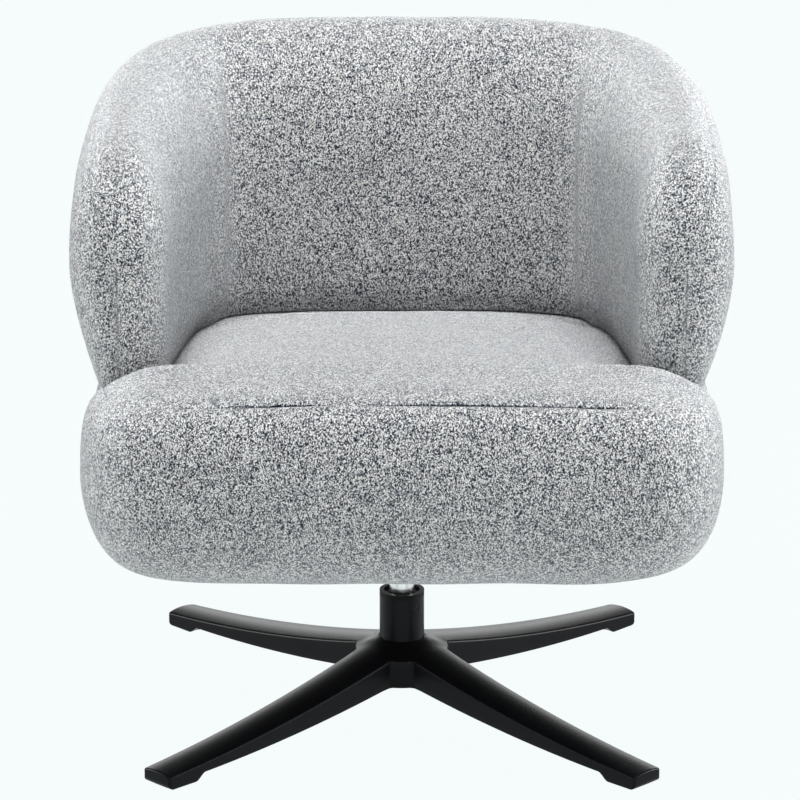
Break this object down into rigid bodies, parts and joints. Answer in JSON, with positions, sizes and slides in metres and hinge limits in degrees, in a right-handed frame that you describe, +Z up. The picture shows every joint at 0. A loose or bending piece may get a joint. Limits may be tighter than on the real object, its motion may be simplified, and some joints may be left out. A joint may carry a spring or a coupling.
{
  "type": "swivel armchair",
  "caption": "Low tub armchair in looped fabric: a wraparound back-and-arm shell on a rounded seat drum, free to swivel on a short column over a cast star base.",
  "frame": {"origin": "on the floor, under the column's axis", "axes": "+Z up, -Y towards the front of the seat, +X to the right as seen from the front"},
  "size_m": [0.7028, 0.6946, 0.72],
  "materials": {
    "base_black": "satin black powder coat",
    "steel_black": "satin black powder coat",
    "plastic_black": "moulded, semi-matt black",
    "rubber_black": "matt",
    "steel_bright": "ground and polished",
    "brass_cage": "stamped",
    "steel_dark": "black oxide",
    "zinc_plated": "bright zinc",
    "plywood": "unfinished birch ply",
    "softwood": "planed, unfinished",
    "dust_cloth": "spunbond non-woven",
    "webbing": "elastic woven webbing",
    "foam": "open-cell polyurethane foam",
    "boucle": "looped wool yarn, pale grey over blue-grey"
  },
  "bodies": {
    "base": {"star_base": "base_black", "foot_glides": "plastic_black", "column_tube": "steel_black", "guide_bush": "plastic_black", "bush_screw": "steel_dark", "buffer_ring": "rubber_black", "lower_race": "steel_bright", "ball_cage": "brass_cage", "bearing_balls": "steel_bright"},
    "seat": {"spindle": "steel_bright", "upper_race": "steel_bright", "spindle_washer": "zinc_plated", "spindle_clip": "steel_dark", "swivel_plate": "steel_black", "plate_bolts": "zinc_plated", "plate_washers": "zinc_plated", "plate_nuts": "zinc_plated", "dust_cover": "dust_cloth", "bottom_board": "plywood", "front_rail": "softwood", "rear_rail": "softwood", "left_rail": "softwood", "right_rail": "softwood", "corner_blocks": "softwood", "seat_deck": "plywood", "board_screws": "zinc_plated", "deck_screws": "zinc_plated", "webbing": "webbing", "border_foam": "foam", "seat_foam": "foam", "seat_border_cover": "boucle", "seat_top_cover": "boucle", "shell_bolts": "zinc_plated", "shell_washers": "zinc_plated", "shell_nuts": "zinc_plated", "shell_foot_rail": "plywood", "shell_core": "plywood", "shell_foam": "foam", "shell_inner_cover": "boucle", "shell_outer_cover": "boucle"}
  },
  "joints": [
    {"name": "seat_swivel", "type": "hinge", "parent": "base", "child": "seat", "pos_m": [0, 0, 0.13], "axis": [0, 0, 1], "continuous": true}
  ]
}
